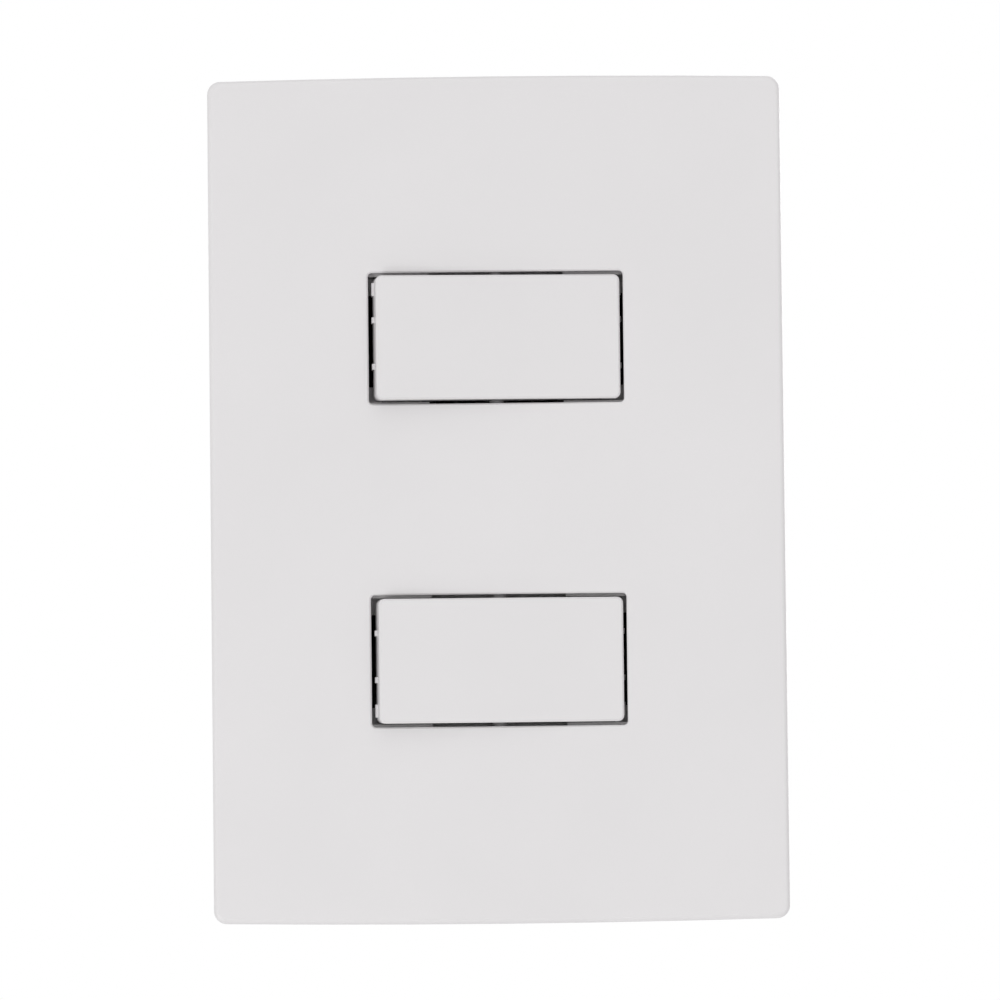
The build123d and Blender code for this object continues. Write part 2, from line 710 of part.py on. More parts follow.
def common_strip():
    """The brass strip from the common clamp to the cradle, with two notched ears for the blade."""
    half = STRIP_WIDTH / 2
    outer_x = CLAMP_OFFSET + CLAMP_LENGTH / 2
    strip = block(-outer_x, EAR_LENGTH / 2, strip_front_y, strip_back_y, -half, half)
    inner_z = CONTACT_WIDTH / 2 + EAR_SIDE_GAP
    outer_z = inner_z + EAR_THICKNESS
    half_ear = EAR_LENGTH / 2
    ears = block(-half_ear, half_ear, strip_front_y, strip_back_y, -outer_z, outer_z)
    notch = TRUNNION_RADIUS + TRUNNION_PLAY
    top_y = contact_y - EAR_RISE
    for side in (-1, 1):
        z0, z1 = sorted((side * inner_z, side * outer_z))
        ears += block(-half_ear, half_ear, top_y, strip_back_y, z0, z1)
    ears -= rod_z(notch, -outer_z - CUT, outer_z + CUT, y=contact_y)
    ears -= block(-notch, notch, top_y - CUT, contact_y, -outer_z - CUT, outer_z + CUT)
    return strip + ears


def line_strip():
    """The brass strip from the line clamp to the fixed tip."""
    half = STRIP_WIDTH / 2
    outer_x = CLAMP_OFFSET + CLAMP_LENGTH / 2
    return block(LINE_STRIP_INNER_END, outer_x, strip_front_y, strip_back_y, -half, half)


def wire_clamp(side):
    """A brass block behind the strip, with a bore for the wire and a tapped hole for its screw."""
    x = side * CLAMP_OFFSET
    half_x = CLAMP_LENGTH / 2
    half_z = CLAMP_HEIGHT / 2
    body = block(x - half_x, x + half_x, strip_back_y, clamp_back_y, -half_z, half_z)
    body -= rod_y(WIRE_BORE_RADIUS, clamp_back_y - WIRE_BORE_DEPTH, clamp_back_y + CUT, x=x)
    return body - rod_z(
        CLAMP_SCREW_RADIUS + CLAMP_SCREW_PLAY, -half_z - CUT, 0, x=x, y=clamp_screw_y
    )


def clamp_screw(side):
    """The terminal screw, backed off so that the wire's bore is open."""
    x = side * CLAMP_OFFSET
    end_z = -WIRE_BORE_RADIUS - CLAMP_SCREW_BACKOFF
    seat_z = end_z - CLAMP_SCREW_LENGTH
    head_z = seat_z - CLAMP_HEAD_HEIGHT
    screw = rod_z(CLAMP_SCREW_RADIUS, seat_z, end_z, x=x, y=clamp_screw_y)
    screw += rod_z(CLAMP_HEAD_RADIUS, head_z, seat_z, x=x, y=clamp_screw_y)
    half = CLAMP_SLOT_WIDTH / 2
    reach = CLAMP_HEAD_RADIUS + CUT
    return screw - block(
        x - reach,
        x + reach,
        clamp_screw_y - half,
        clamp_screw_y + half,
        head_z - CUT,
        head_z + CLAMP_SLOT_DEPTH,
    )


def snap_windows():
    """The windows in the housing's walls for the bezel's tongues and the rear cover's."""
    inner_x = housing_inner_width / 2 - JOIN
    outer_x = spigot_width / 2 + CUT
    half = TONGUE_WIDTH / 2 + TONGUE_CLEARANCE
    y0 = housing_front_y + TONGUE_BARB_START - SNAP_GAP
    y1 = housing_front_y + TONGUE_LENGTH + TONGUE_CLEARANCE
    end = block(inner_x, outer_x, y0, y1, TONGUE_OFFSET - half, TONGUE_OFFSET + half)
    ends = end + mirror(end, Plane.XY)
    half = COVER_TONGUE_WIDTH / 2 + TONGUE_CLEARANCE
    y0 = housing_floor_y - COVER_TONGUE_LENGTH - TONGUE_CLEARANCE
    y1 = housing_floor_y - COVER_TONGUE_LENGTH + TONGUE_BARB_LENGTH + SNAP_GAP
    side = block(-half, half, y0, y1, housing_inner_height / 2 - JOIN, spigot_height / 2 + CUT)
    return ends + mirror(ends, Plane.YZ) + side + mirror(side, Plane.XY)


def housing_lug():
    """The wedge on the housing's end that snaps into the window of the frame's rail."""
    return prism_z(
        [
            (spigot_width / 2 - JOIN, LUG_START),
            (spigot_width / 2 + LUG_PROUD, LUG_START),
            (spigot_width / 2 + LUG_PROUD, LUG_START + LUG_LENGTH / 3),
            (spigot_width / 2, LUG_START + LUG_LENGTH),
            (spigot_width / 2 - JOIN, LUG_START + LUG_LENGTH),
        ],
        0,
        LUG_WIDTH,
    )


def housing():
    """The dark walls round the mechanism, open to the bezel in front and to the cover behind."""
    inner = Rectangle(housing_inner_width, housing_inner_height)
    body = slab(Rectangle(spigot_width, spigot_height), housing_front_y, housing_floor_y)
    body = chamfer(body.edges().filter_by(Axis.Y), HOUSING_CHAMFER)
    body -= slab(inner, housing_front_y - CUT, housing_floor_y + CUT)
    body -= snap_windows()
    access = CLAMP_HEAD_RADIUS + ACCESS_HOLE_CLEARANCE
    for side in (-1, 1):
        body -= rod_z(
            access,
            -spigot_height / 2 - CUT,
            JOIN - housing_inner_height / 2,
            x=side * CLAMP_OFFSET,
            y=clamp_screw_y,
        )
    lug = housing_lug()
    return body + lug + mirror(lug, Plane.YZ)


def cover_tongue():
    """A tongue in front of the rear cover, with a barb for the window in the housing's long wall."""
    outer_z = housing_inner_height / 2 - COVER_TONGUE_PLAY
    inner_z = outer_z - TONGUE_THICKNESS
    tip_y = housing_floor_y - COVER_TONGUE_LENGTH
    catch_y = tip_y + TONGUE_BARB_LENGTH
    root_y = housing_floor_y + COVER_THICKNESS / 2
    return prism_x(
        [
            (root_y, inner_z),
            (tip_y, inner_z),
            (tip_y, outer_z),
            (catch_y, outer_z + TONGUE_BARB),
            (catch_y, outer_z),
            (root_y, outer_z),
        ],
        0,
        COVER_TONGUE_WIDTH,
    )


def clamp_nest(side):
    """The seats under one wire clamp, the low walls beside it and the tall one between the poles."""
    inner_x = CLAMP_OFFSET - CLAMP_LENGTH / 2
    outer_x = CLAMP_OFFSET + CLAMP_LENGTH / 2
    root_y = housing_floor_y + COVER_THICKNESS / 2
    half_height = housing_inner_height / 2 - COVER_TONGUE_PLAY
    wall_x = inner_x - NEST_GAP - PARTITION_THICKNESS
    nest = block(wall_x, wall_x + PARTITION_THICKNESS, strip_back_y, root_y, -half_height, half_height)
    low_y = housing_floor_y - NEST_HEIGHT
    for side_z in (-1, 1):
        near_z = side_z * (CLAMP_HEIGHT / 2 + NEST_GAP)
        z0, z1 = sorted((near_z, near_z + side_z * NEST_THICKNESS))
        nest += block(wall_x, outer_x, low_y, root_y, z0, z1)
        z = side_z * SEAT_SPACING / 2
        half = NEST_THICKNESS / 2
        nest += block(wall_x, outer_x, clamp_back_y, root_y, z - half, z + half)
    return nest if side > 0 else mirror(nest, Plane.YZ)


def stop_posts():
    """The two posts that the blade's bar rests on when the switch is off."""
    tilt = radians(CONTACT_TILT)
    x = -CONTACT_STOP_ARM * cos(tilt)
    y = contact_y + CONTACT_STOP_ARM * sin(tilt) + CONTACT_THICKNESS / 2 * cos(tilt) + STOP_GAP
    outer_z = CONTACT_BAR_WIDTH / 2 + JOIN
    root_y = housing_floor_y + COVER_THICKNESS / 2
    post = block(x, x + STOP_POST_LENGTH, y, root_y, outer_z - STOP_POST_WIDTH, outer_z)
    return post + mirror(post, Plane.XY)


def rear_cover():
    """The dark back of the module, with the wire holes and the seats of the terminals."""
    cover = slab(Rectangle(spigot_width, spigot_height), housing_floor_y, housing_back_y)
    back = cover.faces().sort_by(Axis.Y)[-1]
    cover = chamfer(back.edges(), COVER_EDGE_CHAMFER)
    tongue = cover_tongue()
    cover += tongue + mirror(tongue, Plane.XY)
    half_boss = CRADLE_BOSS_LENGTH / 2
    half_width = STRIP_WIDTH / 2 + NEST_THICKNESS
    root_y = housing_floor_y + COVER_THICKNESS / 2
    cover += block(-half_boss, half_boss, strip_back_y, root_y, -half_width, half_width)
    cover += stop_posts()
    wire = WIRE_BORE_RADIUS + WIRE_HOLE_CLEARANCE
    for side in (-1, 1):
        x = side * CLAMP_OFFSET
        cover += clamp_nest(side)
        cover -= rod_y(wire, clamp_back_y, housing_back_y + CUT, x=x)
    return cover


def module_pieces(rocker_turn):
    return {
        "bezel": bezel(),
        "rocker": rocker(rocker_turn),
        "plunger_spring": plunger_spring(),
        "plunger": plunger(),
        "moving_contact": moving_contact(),
        "moving_tip": moving_tip(),
        "fixed_tip": fixed_tip(),
        "common_strip": common_strip(),
        "line_strip": line_strip(),
        "common_clamp": wire_clamp(-1),
        "line_clamp": wire_clamp(1),
        "common_screw": clamp_screw(-1),
        "line_screw": clamp_screw(1),
        "housing": housing(),
        "rear_cover": rear_cover(),
    }


def all_pieces():
    screw = box_screw()
    pieces = {
        "cover_plate": cover_plate(),
        "support_frame": support_frame(),
        "mounting_screw_top": Pos(0, 0, BOX_SCREW_SPACING / 2) * screw,
        "mounting_screw_bottom": Pos(0, 0, -BOX_SCREW_SPACING / 2) * screw,
    }
    for module, bay, turn in (("upper_", 1, 0), ("lower_", -1, 180)):
        for name, shape in module_pieces(turn).items():
            pieces[module + name] = Pos(0, 0, bay * BAY_PITCH) * shape
    return pieces


os.makedirs("parts", exist_ok=True)
for node, shape in all_pieces().items():
    export_step(shape, "parts/" + node + ".step")
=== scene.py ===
import json
from math import cos, pi, radians, sin, tau

import bmesh
import bpy
from mathutils import Matrix, Vector

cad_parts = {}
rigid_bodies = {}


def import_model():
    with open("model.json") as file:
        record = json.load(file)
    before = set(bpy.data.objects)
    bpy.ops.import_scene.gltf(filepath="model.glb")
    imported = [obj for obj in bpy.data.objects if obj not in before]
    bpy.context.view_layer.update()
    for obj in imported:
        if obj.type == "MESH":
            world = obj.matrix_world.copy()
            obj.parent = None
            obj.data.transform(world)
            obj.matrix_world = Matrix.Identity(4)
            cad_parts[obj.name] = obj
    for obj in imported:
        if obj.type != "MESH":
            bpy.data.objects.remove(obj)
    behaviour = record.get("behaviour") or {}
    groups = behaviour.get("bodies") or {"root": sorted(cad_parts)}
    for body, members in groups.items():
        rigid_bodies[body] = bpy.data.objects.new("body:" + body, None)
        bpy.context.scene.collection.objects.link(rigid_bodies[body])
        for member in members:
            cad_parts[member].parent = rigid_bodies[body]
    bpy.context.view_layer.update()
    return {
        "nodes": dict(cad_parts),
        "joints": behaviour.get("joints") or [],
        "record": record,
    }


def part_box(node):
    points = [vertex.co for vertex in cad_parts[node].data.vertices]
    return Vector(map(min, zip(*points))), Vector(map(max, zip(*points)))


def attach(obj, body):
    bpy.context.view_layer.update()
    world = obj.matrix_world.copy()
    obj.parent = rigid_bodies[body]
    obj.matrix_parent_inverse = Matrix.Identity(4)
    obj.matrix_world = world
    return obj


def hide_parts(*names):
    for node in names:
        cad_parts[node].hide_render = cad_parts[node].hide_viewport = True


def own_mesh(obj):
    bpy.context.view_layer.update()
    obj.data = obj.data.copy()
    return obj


# The looks of a double light switch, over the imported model. Metres, in the model's own frame:
# X to the right, Y into the wall, Z up. The wall plate's back rim lies in the plane y = 0.

# Camera, fitted to the plate's edges and openings in the photograph
CAMERA_TARGET = Vector((0.000334, -0.008, -0.0002175))
CAMERA_DISTANCE = 0.65
CAMERA_ELEVATION = radians(-2.174)
CAMERA_ROLL = radians(-0.626)
CAMERA_LENS = 168.04
CAMERA_SENSOR = 36.0

# Lamps, each with its place, size and watts, all facing the object
LAMPS = (
    ("key", (-0.5, -0.8, -0.45), 0.5, 2.7),
    ("fill", (0.55, -1.0, -0.1), 0.7, 0.7),
    ("overhead", (0.1, -0.6, 0.9), 0.8, 1.8),
    ("rear", (0.5, 1.0, 0.35), 0.8, 5.0),
)

# World and floor. The floor ends before the photograph's view reaches it.
WORLD_FILL = 0.72
FLOOR_DROP = 0.8
FLOOR_HALF_WIDTH = 8.0
FLOOR_COLOUR = (0.86, 0.86, 0.86)
FLOOR_WHITENING = 0.5

# Grains in a metre of each material's patterns
MOULDED_FLOW = 45
MOULDED_SPECK = 5200
MOULDED_GLOSS = 320
MOULDED_PEEL = 900
MOULDED_GRAIN = 7000
NYLON_FIBRES = 1500
NYLON_CLOUD = 70
NYLON_GLOSS = 600
NYLON_SKIN = 1600
NYLON_GRAIN = 8000
METAL_PATCHES = 260
METAL_RIPPLE = 700
ZINC_CRYSTALS = 5200
ZINC_PATCHES = 380
ZINC_RIPPLE = 2400
FLOOR_GRAIN = 60

# Where most of a noise texture's values lie
NOISE_LOW = 0.3
NOISE_HIGH = 0.7

MOULDED_IOR = 1.46
SHARP_ANGLE = 35.0

# Screws
BOX_THREAD_PITCH = 0.0006
BOX_THREAD_DEPTH = 0.0003
BOX_HEAD_HEIGHT = 0.0024
BOX_SHANK_LENGTH = 0.0032
BOX_SHANK_RADIUS = 0.00145
BOX_POINT_LENGTH = 0.0006
CROSS_LENGTH = 0.0042
CROSS_WIDTH = 0.0009
CROSS_DEPTH = 0.0014
CROSS_FLOOR_LENGTH_SHARE = 0.45
CROSS_FLOOR_WIDTH_SHARE = 0.7
DOME_FLAT_SHARE = 0.5
DOME_HEIGHT_SHARE = 0.62
DOME_STEPS = 8
RIM_START_SHARE = 0.94
RIM_UNDERCUT_SHARE = 0.985
NECK_RADIUS_SHARE = 1.12
NECK_END_SHARE = 1.08
POINT_RADIUS_SHARE = 0.8
OVERLAP = 0.0002
TERMINAL_THREAD_PITCH = 0.0005
TERMINAL_THREAD_DEPTH = 0.00025
TERMINAL_HEAD_HEIGHT = 0.0018
TERMINAL_THREAD_RADIUS = 0.0015
TERMINAL_SLOT_WIDTH = 0.0008
TERMINAL_SLOT_DEPTH = 0.0009
TERMINAL_POINT_OVERLAP = 0.001

# Plungers and springs, measured along the plunger's line from the rocker's pivot
PLUNGER_START = 0.0047
PLUNGER_END = 0.014
PLUNGER_RADIUS = 0.00155
PLUNGER_EDGE_SHARE = 0.1
PLUNGER_NOSE_STEPS = 16
SPRING_START = -0.0025
SPRING_WIRE = 0.0002
SPRING_COIL = 0.00115
SPRING_TURNS = 5.0
SPRING_DEAD_TURNS = 1.0
SPRING_STEPS = 32
SPRING_SIDES = 12

MODULES = ("upper", "lower")


# Nodes of a material

def new_material(name):
    material = bpy.data.materials.new(name)
    material.use_nodes = True
    return material, material.node_tree, material.node_tree.nodes["Principled BSDF"]


def noise(tree, scale, detail=2.0, stretch=(1.0, 1.0, 1.0)):
    """Noise fixed to the piece, with scale as the number of grains in a metre."""
    coords = tree.nodes.new("ShaderNodeTexCoord")
    mapping = tree.nodes.new("ShaderNodeMapping")
    mapping.inputs["Scale"].default_value = [scale * part for part in stretch]
    texture = tree.nodes.new("ShaderNodeTexNoise")
    texture.inputs["Scale"].default_value = 1.0
    texture.inputs["Detail"].default_value = detail
    tree.links.new(coords.outputs["Object"], mapping.inputs["Vector"])
    tree.links.new(mapping.outputs["Vector"], texture.inputs["Vector"])
    return texture.outputs["Fac"]


def spread(tree, value, low, high, start=NOISE_LOW, stop=NOISE_HIGH):
    """Takes a value from the range start to stop over to the range low to high."""
    node = tree.nodes.new("ShaderNodeMapRange")
    node.inputs["From Min"].default_value = start
    node.inputs["From Max"].default_value = stop
    node.inputs["To Min"].default_value = low
    node.inputs["To Max"].default_value = high
    tree.links.new(value, node.inputs["Value"])
    return node.outputs["Result"]


def blend_colours(tree, value, first, second):
    """A colour between two, by a value from 0 to 1. Either may be a colour or a socket."""
    node = tree.nodes.new("ShaderNodeMix")
    node.data_type = "RGBA"
    tree.links.new(value, node.inputs["Factor"])
    for colour, socket in ((first, node.inputs[6]), (second, node.inputs[7])):
        if isinstance(colour, tuple):
            socket.default_value = (*colour, 1.0)
        else:
            tree.links.new(colour, socket)
    return node.outputs[2]


def bumps(tree, *heights):
    """A normal roughened by each (value, depth in metres) in turn."""
    normal = None
    for value, depth in heights:
        node = tree.nodes.new("ShaderNodeBump")
        node.inputs["Strength"].default_value = 1.0
        node.inputs["Distance"].default_value = depth
        tree.links.new(value, node.inputs["Height"])
        if normal:
            tree.links.new(normal, node.inputs["Normal"])
        normal = node.outputs["Normal"]
    return normal


def shade(colour, factor):
    return tuple(part * factor for part in colour)


# Materials

def moulded(name, colour, roughness, contrast=0.012, grain=4e-6, peel=6e-6):
    """Moulded plastic: a faint flow pattern in its tone, an orange-peel skin and a fine grain."""
    material, tree, shader = new_material(name)
    cloud = spread(tree, noise(tree, MOULDED_FLOW, detail=3), 0.0, 1.0)
    tone = blend_colours(tree, cloud, shade(colour, 1 - contrast), shade(colour, 1 + contrast))
    speck = spread(tree, noise(tree, MOULDED_SPECK), 0.0, 1.0)
    dark = shade(colour, 1 - 2 * contrast)
    faint = spread(tree, speck, 0.0, 0.35, 0.0, 1.0)
    tree.links.new(blend_colours(tree, faint, tone, dark), shader.inputs["Base Color"])
    patchy = noise(tree, MOULDED_GLOSS, detail=4)
    gloss = spread(tree, patchy, roughness - 0.04, roughness + 0.05)
    tree.links.new(gloss, shader.inputs["Roughness"])
    fine = noise(tree, MOULDED_GRAIN, detail=1)
    skin = bumps(tree, (noise(tree, MOULDED_PEEL), peel), (fine, grain))
    tree.links.new(skin, shader.inputs["Normal"])
    shader.inputs["IOR"].default_value = MOULDED_IOR
    return material


def filled_nylon(name, colour, roughness, peel=1.2e-5, grain=8e-6):
    """Glass-filled nylon: short pale fibres just under a matt skin."""
    material, tree, shader = new_material(name)
    strands = noise(tree, NYLON_FIBRES, detail=3, stretch=(0.25, 1.0, 1.0))
    fibres = spread(tree, strands, 0.0, 0.5, start=0.56, stop=0.75)
    cloud = spread(tree, noise(tree, NYLON_CLOUD, detail=3), 0.0, 1.0)
    tone = blend_colours(tree, cloud, shade(colour, 0.86), shade(colour, 1.12))
    tree.links.new(blend_colours(tree, fibres, tone, shade(colour, 1.9)), shader.inputs["Base Color"])
    gloss = spread(tree, noise(tree, NYLON_GLOSS, detail=4), roughness - 0.08, roughness + 0.1)
    tree.links.new(gloss, shader.inputs["Roughness"])
    fine = noise(tree, NYLON_GRAIN, detail=1)
    skin = bumps(tree, (noise(tree, NYLON_SKIN), peel), (fine, grain))
    tree.links.new(skin, shader.inputs["Normal"])
    return material


def metal(name, colour, tarnish, roughness, stretch, scratch=3e-6, ripple=4e-6, grain=2500):
    """Metal with tool marks along one direction and patches of tarnish."""
    material, tree, shader = new_material(name)
    shader.inputs["Metallic"].default_value = 1.0
    patches = spread(tree, noise(tree, METAL_PATCHES, detail=5), 0.0, 1.0, start=0.42, stop=0.72)
    marks = noise(tree, grain, detail=4, stretch=stretch)
    tone = blend_colours(tree, patches, colour, tarnish)
    worn = blend_colours(tree, spread(tree, marks, 0.0, 0.3), tone, shade(colour, 0.82))
    tree.links.new(worn, shader.inputs["Base Color"])
    gloss = spread(tree, marks, roughness - 0.07, roughness + 0.1)
    tree.links.new(gloss, shader.inputs["Roughness"])
    skin = bumps(tree, (marks, scratch), (noise(tree, METAL_RIPPLE), ripple))
    tree.links.new(skin, shader.inputs["Normal"])
    return material


def plated(name, colour, tint, roughness, facet=4e-6, ripple=5e-6):
    """Zinc plating: small crystals of slightly different tone, with a faint passivation tint."""
    material, tree, shader = new_material(name)
    shader.inputs["Metallic"].default_value = 1.0
    coords = tree.nodes.new("ShaderNodeTexCoord")
    crystals = tree.nodes.new("ShaderNodeTexVoronoi")
    crystals.inputs["Scale"].default_value = ZINC_CRYSTALS
    tree.links.new(coords.outputs["Object"], crystals.inputs["Vector"])
    cell = spread(tree, crystals.outputs["Distance"], 0.0, 1.0, 0.0, 0.9)
    patches = spread(tree, noise(tree, ZINC_PATCHES, detail=4), 0.0, 1.0)
    tone = blend_colours(tree, patches, colour, tint)
    tree.links.new(blend_colours(tree, cell, tone, shade(colour, 0.88)), shader.inputs["Base Color"])
    tree.links.new(spread(tree, cell, roughness, roughness + 0.14, 0.0, 1.0), shader.inputs["Roughness"])
    uneven = noise(tree, ZINC_RIPPLE, detail=4)
    skin = bumps(tree, (crystals.outputs["Distance"], facet), (uneven, ripple))
    tree.links.new(skin, shader.inputs["Normal"])
    return material


def make_materials():
    """One material for each of the record's slots."""
    white = (0.745, 0.73, 0.737)
    return {
        "plate_plastic": moulded("plate_plastic", white, 0.36),
        "rocker_plastic": moulded("rocker_plastic", white, 0.36),
        "bezel_plastic": moulded("bezel_plastic", shade(white, 0.98), 0.42),
        "plunger_plastic": moulded("plunger_plastic", (0.76, 0.73, 0.64), 0.3, contrast=0.02),
        "frame_plastic": moulded("frame_plastic", (0.5, 0.5, 0.5), 0.46, contrast=0.03, grain=8e-6),
        "housing_plastic": filled_nylon("housing_plastic", (0.05, 0.05, 0.055), 0.48),
        "contact_brass": metal(
            "contact_brass", (0.78, 0.57, 0.25), (0.62, 0.42, 0.18), 0.28, (0.04, 1.0, 1.0)
        ),
        "clamp_brass": metal(
            "clamp_brass", (0.74, 0.53, 0.22), (0.6, 0.41, 0.17), 0.24, (1.0, 0.05, 1.0), scratch=5e-6
        ),
        "silver_tip": metal("silver_tip", (0.85, 0.85, 0.83), (0.7, 0.68, 0.62), 0.3, (1.0, 1.0, 1.0)),
        "spring_steel": metal(
            "spring_steel", (0.55, 0.55, 0.56), (0.4, 0.4, 0.41), 0.26, (1.0, 1.0, 1.0), scratch=2e-6
        ),
        "terminal_screw": plated("terminal_screw", (0.7, 0.69, 0.62), (0.66, 0.6, 0.42), 0.26),
        "zinc_screw": plated("zinc_screw", (0.68, 0.68, 0.68), (0.6, 0.63, 0.66), 0.28),
    }


# Meshes of the small pieces

def to_object(name, mesh_builder, material):
    """A finished object from a bmesh, with soft shading except at its sharp edges."""
    mesh = bpy.data.meshes.new(name)
    bmesh.ops.recalc_face_normals(mesh_builder, faces=mesh_builder.faces)
    mesh_builder.to_mesh(mesh)
    mesh_builder.free()
    mesh.shade_smooth()
    mesh.set_sharp_from_angle(angle=radians(SHARP_ANGLE))
    mesh.materials.append(material)
    piece = bpy.data.objects.new(name, mesh)
    bpy.context.scene.collection.objects.link(piece)
    return piece


def turned(profile, segments=64):
    """A closed body of revolution about Z, from (radius, z) points. Both ends lie on the axis."""
    body = bmesh.new()
    rings = []
    for radius, z in profile[1:-1]:
        ring = [
            body.verts.new((radius * cos(tau * k / segments), radius * sin(tau * k / segments), z))
            for k in range(segments)
        ]
        rings.append(ring)
    first = body.verts.new((0, 0, profile[0][1]))
    last = body.verts.new((0, 0, profile[-1][1]))
    for k in range(segments):
        after = (k + 1) % segments
        body.faces.new((first, rings[0][after], rings[0][k]))
        body.faces.new((last, rings[-1][k], rings[-1][after]))
        for low, high in zip(rings, rings[1:]):
            body.faces.new((low[k], low[after], high[after], high[k]))
    return body


def threaded(radius, depth, pitch, z0, z1, segments=48):
    """A threaded rod about Z with its crests at radius. The thread runs out at both ends."""
    heights = (0.0, 0.0, 0.55, 1.0, 1.0, 0.55)
    steps = len(heights)
    rows = int((z1 - z0) / pitch + 1) * steps
    body = bmesh.new()

    def point(row, k):
        z = z0 + (row / steps + k / segments - 0.5) * pitch
        run_out = min(1.0, max(0.0, (z - z0) / pitch), max(0.0, (z1 - z) / pitch))
        distance = radius - depth + depth * heights[row % steps] * run_out
        angle = tau * k / segments
        return distance * cos(angle), distance * sin(angle), min(max(z, z0), z1)

    grid = [[body.verts.new(point(row, k)) for k in range(segments)] for row in range(rows + steps)]
    for row in range(rows):
        for k in range(segments - 1):
            body.faces.new((grid[row][k], grid[row][k + 1], grid[row + 1][k + 1], grid[row + 1][k]))
        if row + steps + 1 < rows + steps:
            low, high = grid[row + steps], grid[row + steps + 1]
            body.faces.new((grid[row][-1], low[0], high[0], grid[row + 1][-1]))
    bmesh.ops.remove_doubles(body, verts=body.verts, dist=pitch * 1e-4)
    return body


def wedge_cross(length, width, depth):
    """The cutter of a cross recess: two crossed bars that narrow towards their floor."""
    cutter = bmesh.new()
    for turn in (0.0, pi / 2):
        top = [(-length, -width), (length, -width), (length, width), (-length, width)]
        floor = [(CROSS_FLOOR_LENGTH_SHARE * x, CROSS_FLOOR_WIDTH_SHARE * y) for x, y in top]
        spin = Matrix.Rotation(turn, 3, "Z")
        high = [cutter.verts.new(spin @ Vector((x / 2, y / 2, -depth / 4))) for x, y in top]
        low = [cutter.verts.new(spin @ Vector((x / 2, y / 2, depth))) for x, y in floor]
        cutter.faces.new(high)
        cutter.faces.new(low)
        for k in range(4):
            after = (k + 1) % 4
            cutter.faces.new((high[k], high[after], low[after], low[k]))
    bmesh.ops.recalc_face_normals(cutter, faces=cutter.faces)
    return cutter


def cut(piece, cutter):
    """Takes the cutter from the piece's mesh, worked out once and kept as plain mesh."""
    tool_mesh = bpy.data.meshes.new("cutter")
    cutter.to_mesh(tool_mesh)
    cutter.free()
    tool = bpy.data.objects.new("cutter", tool_mesh)
    bpy.context.scene.collection.objects.link(tool)
    modifier = piece.modifiers.new("cut", "BOOLEAN")
    modifier.operation = "DIFFERENCE"
    modifier.solver = "EXACT"
    modifier.use_self = True
    modifier.object = tool
    shown = piece.evaluated_get(bpy.context.evaluated_depsgraph_get())
    mesh = bpy.data.meshes.new_from_object(shown)
    piece.modifiers.clear()
    piece.data = mesh
    bpy.data.objects.remove(tool)
    piece.data.shade_smooth()
    piece.data.set_sharp_from_angle(angle=radians(SHARP_ANGLE))


def join(pieces, name):
    """One object from several."""
    with bpy.context.temp_override(
        active_object=pieces[0], object=pieces[0], selected_editable_objects=pieces
    ):
        bpy.ops.object.join()
    pieces[0].name = name
    pieces[0].data.name = name
    return pieces[0]


def pan_head(radius, height, shank, shank_end):
    """The head and plain shank of a screw that points up, as a profile of (radius, z) points."""
    flat = DOME_FLAT_SHARE * radius
    dome = [
        (flat + (radius - flat) * sin(angle), DOME_HEIGHT_SHARE * height * (1 - cos(angle)))
        for angle in (pi / 2 * k / DOME_STEPS for k in range(DOME_STEPS + 1))
    ]
    rim = [(radius, RIM_START_SHARE * height), (radius * RIM_UNDERCUT_SHARE, height)]
    stem = [(shank * NECK_RADIUS_SHARE, height), (shank, height * NECK_END_SHARE), (shank, shank_end)]
    return [(0, 0)] + dome + rim + stem + [(0, shank_end)]


def box_screw(node, material):
    """A mounting screw with its real thread and cross recess, in place of the plain solid."""
    low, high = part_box(node)
    radius = (high[0] - low[0]) / 2
    length = high[1] - low[1]
    thread_radius = radius / 2
    start = BOX_HEAD_HEIGHT + BOX_SHANK_LENGTH
    tip = length - BOX_POINT_LENGTH
    profile = pan_head(radius, BOX_HEAD_HEIGHT, BOX_SHANK_RADIUS, start)
    head = to_object("head", turned(profile), material)
    cut(head, wedge_cross(CROSS_LENGTH, CROSS_WIDTH, CROSS_DEPTH))
    root = thread_radius - BOX_THREAD_DEPTH
    thread = to_object(
        "thread",
        threaded(thread_radius, BOX_THREAD_DEPTH, BOX_THREAD_PITCH, start - OVERLAP, tip),
        material,
    )
    end = POINT_RADIUS_SHARE * root
    profile = [(0, tip - OVERLAP), (root, tip - OVERLAP), (root, tip), (end, length), (0, length)]
    point = to_object("point", turned(profile), material)
    screw = join([head, thread, point], node + "_threaded")
    place = Matrix.Translation(((low[0] + high[0]) / 2, low[1], (low[2] + high[2]) / 2))
    screw.data.transform(place @ Matrix.Rotation(-pi / 2, 4, "X"))
    return screw


